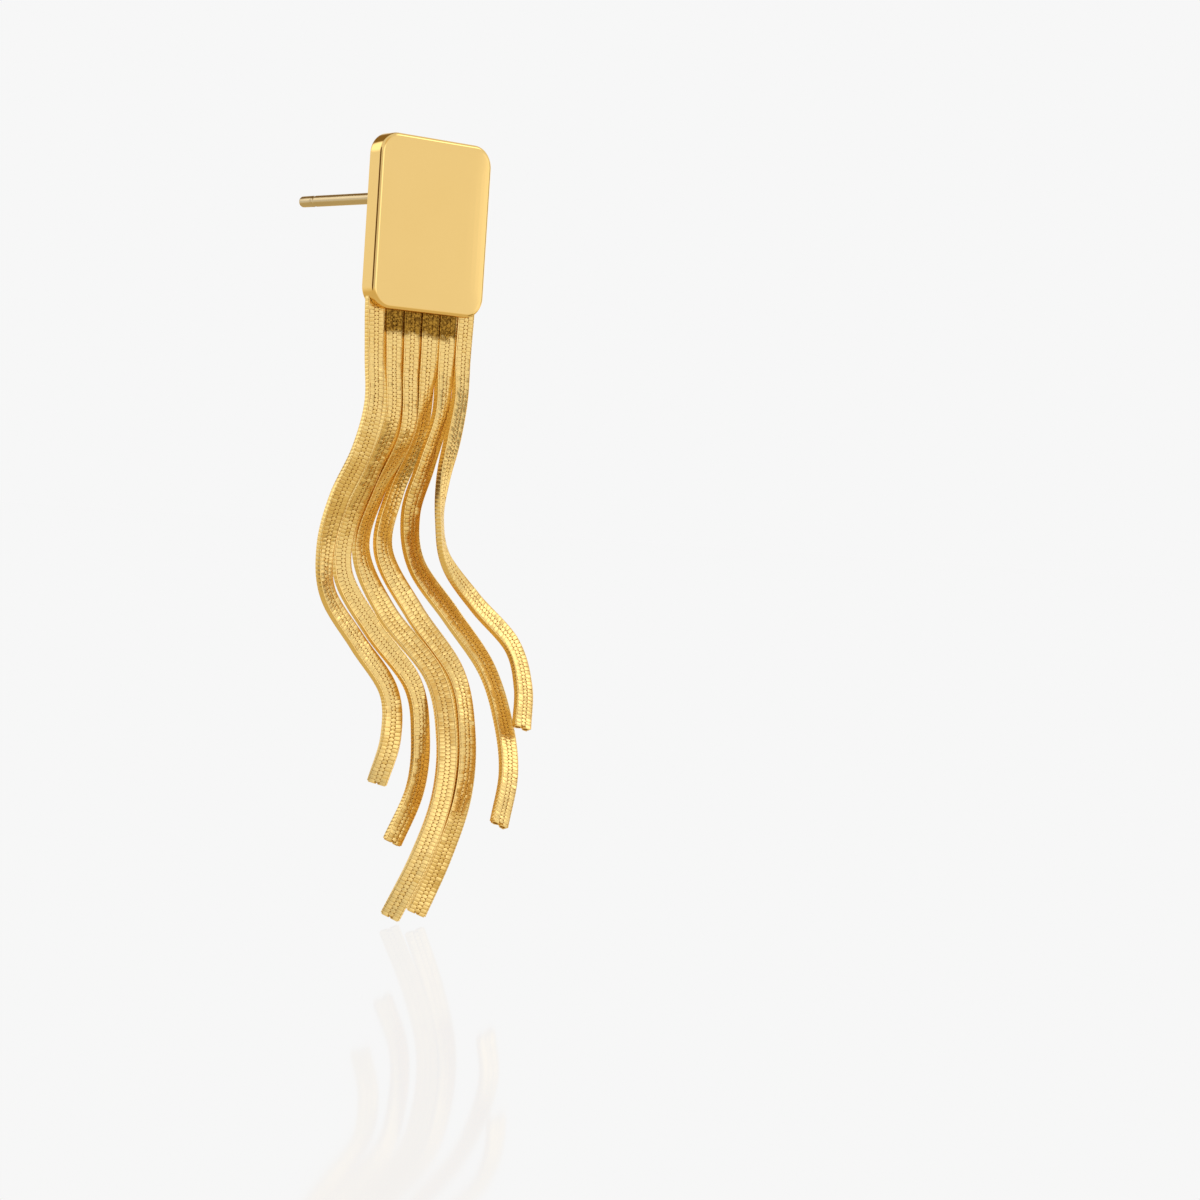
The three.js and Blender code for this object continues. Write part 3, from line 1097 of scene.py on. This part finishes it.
@dataclass
class Studio:
    """A light tent with soft panels and dark flags over a lit opal table.

    Attributes:
        table_height, table_radius, table_sides: Place, size and number of sides of the table.
        ground_tone: sRGB hex of the table, and of the tent where the camera looks at it.
        table_gloss, table_roughness: Share and roughness of what the table mirrors.
        walls: The tent's sRGB hex at each level, from 0 straight down to 1 straight up.
        panels: The panels and flags, each in front of the ones before it.
    """

    table_height: float = -48.3 * MM
    table_radius: float = 1.5
    table_sides: int = 64
    ground_tone: str = "f7f7f7"
    table_gloss: float = 0.09
    table_roughness: float = 0.06
    walls: tuple[tuple[float, str], ...] = (
        (0.0, "ddd0ac"), (0.2, "d8c8a0"), (0.34, "dccba0"), (0.41, "f0e8d2"), (0.46, "f9f6ee"),
        (0.5, "f7f7f7"), (0.62, "f7f7f5"), (0.8, "ececea"), (1.0, "e6e6e3"))
    # Heading, height, core, rim, light and tone of each.
    panels: tuple[TentPanel, ...] = (
        TentPanel(90, 48, 20, 40, 0.26, "ffd488"),
        TentPanel(6, 0, 8, 18, 1.2),
        TentPanel(330, -10, 5, 9, 1.35),
        TentPanel(331, -26, 6, 10, 0.14, "ffdc9a"),
        TentPanel(340, 5, 6, 10, 0.08, "ffdc9a"),
        TentPanel(265, 41, 12, 20, 0.78, "ffe9c0"),
        TentPanel(228, 5, 6, 14, 0.6),
        TentPanel(180, 5, 20, 28, 0.14, "ffc070"),
        TentPanel(125, 27, 10, 20, 1.5),
        TentPanel(320, 36, 7, 13, 2.2),
        TentPanel(275, 6, 8, 18, 1.5),
        TentPanel(316.5, 5, 5, 7, 1.16),
    )

    def build(self) -> None:
        """Sets up the tent, the table and the view of the colours."""
        self._hang_tent()
        self._lay_table()
        bpy.context.scene.view_settings.view_transform = "Standard"
        bpy.context.scene.view_settings.look = "None"

    def _hang_tent(self) -> None:
        """Lights the scene from all round, by direction."""
        world = bpy.data.worlds.new("light_tent")
        bpy.context.scene.world = world
        world.use_nodes = True
        tree = world.node_tree
        tree.nodes.clear()
        direction = add_node(tree, "ShaderNodeTexCoord").outputs["Generated"]
        parts = add_node(tree, "ShaderNodeSeparateXYZ", inputs={"Vector": direction})
        height = add_node(tree, "ShaderNodeMapRange", inputs={
            "Value": parts.outputs["Z"], "From Min": -1.0, "From Max": 1.0})
        ramp = add_node(tree, "ShaderNodeValToRGB", inputs={"Fac": height.outputs["Result"]})
        stops = ramp.color_ramp.elements
        ready = len(stops)
        for at, _ in self.walls[ready:]:
            stops.new(at)
        for stop, (at, tone) in zip(stops, self.walls):
            stop.position = at
            stop.color = linear_from_hex(tone)
        tent = ramp.outputs["Color"]
        for panel in self.panels:
            tent = self._add_panel(tree, tent, direction, panel)
        seen = add_node(tree, "ShaderNodeLightPath")
        colour = mix_colours(tree, seen.outputs["Is Camera Ray"], tent,
                             linear_from_hex(self.ground_tone))
        light = add_node(tree, "ShaderNodeBackground", inputs={"Color": colour})
        add_node(tree, "ShaderNodeOutputWorld", inputs={"Surface": light.outputs["Background"]})

    def _add_panel(self, tree: NodeTree, tent: NodeSocket,
                   direction: NodeSocket, panel: TentPanel) -> NodeSocket:
        """Hangs one panel or flag in front of the tent.

        Args:
            tree: The world's nodes.
            tent: The tent's light so far.
            direction: The direction that is looked in.
            panel: The panel.

        Returns:
            The tent's light with the panel.
        """
        close = add_node(tree, "ShaderNodeVectorMath", {"operation": "DOT_PRODUCT"},
                         {0: direction, 1: panel.direction})
        share = add_fade(tree, close.outputs["Value"], math.cos(math.radians(panel.rim)),
                         math.cos(math.radians(panel.core)))
        return mix_colours(tree, share, tent, panel.colour)

    def _lay_table(self) -> None:
        """Lays the pale table just under the strands' ends."""
        bm = bmesh.new()
        bmesh.ops.create_circle(bm, cap_ends=True, radius=self.table_radius,
                                segments=self.table_sides,
                                matrix=Matrix.Translation((0, 0, self.table_height)))
        mesh = bpy.data.meshes.new("table")
        bm.to_mesh(mesh)
        bm.free()
        mesh.materials.append(self._table_material())
        table = bpy.data.objects.new("table", mesh)
        bpy.context.scene.collection.objects.link(table)
        table.visible_glossy = False

    def _table_material(self) -> Material:
        """Makes opal acrylic, lit from below, with a faint gloss.

        Returns:
            The table's material.
        """
        material = bpy.data.materials.new("opal acrylic, lit")
        material.use_nodes = True
        tree = material.node_tree
        tree.nodes.clear()
        glow = add_node(tree, "ShaderNodeEmission", inputs={
            "Color": linear_from_hex(self.ground_tone)})
        gloss = add_node(tree, "ShaderNodeBsdfGlossy", inputs={
            "Color": (1, 1, 1, 1), "Roughness": self.table_roughness})
        both = add_node(tree, "ShaderNodeMixShader", inputs={
            "Fac": self.table_gloss, 1: glow.outputs["Emission"], 2: gloss.outputs["BSDF"]})
        add_node(tree, "ShaderNodeOutputMaterial", inputs={"Surface": both.outputs["Shader"]})
        return material


def main() -> None:
    """Builds the earring and its studio."""
    logging.basicConfig(level=logging.INFO, format="%(name)s %(message)s")
    PhotoCamera().build()
    Studio().build()
    plate = FacePlate()
    strands = Strands()
    plate.build(strands.places())
    EarPost().build()
    strands.build(plate)


if __name__ == "__main__":
    main()
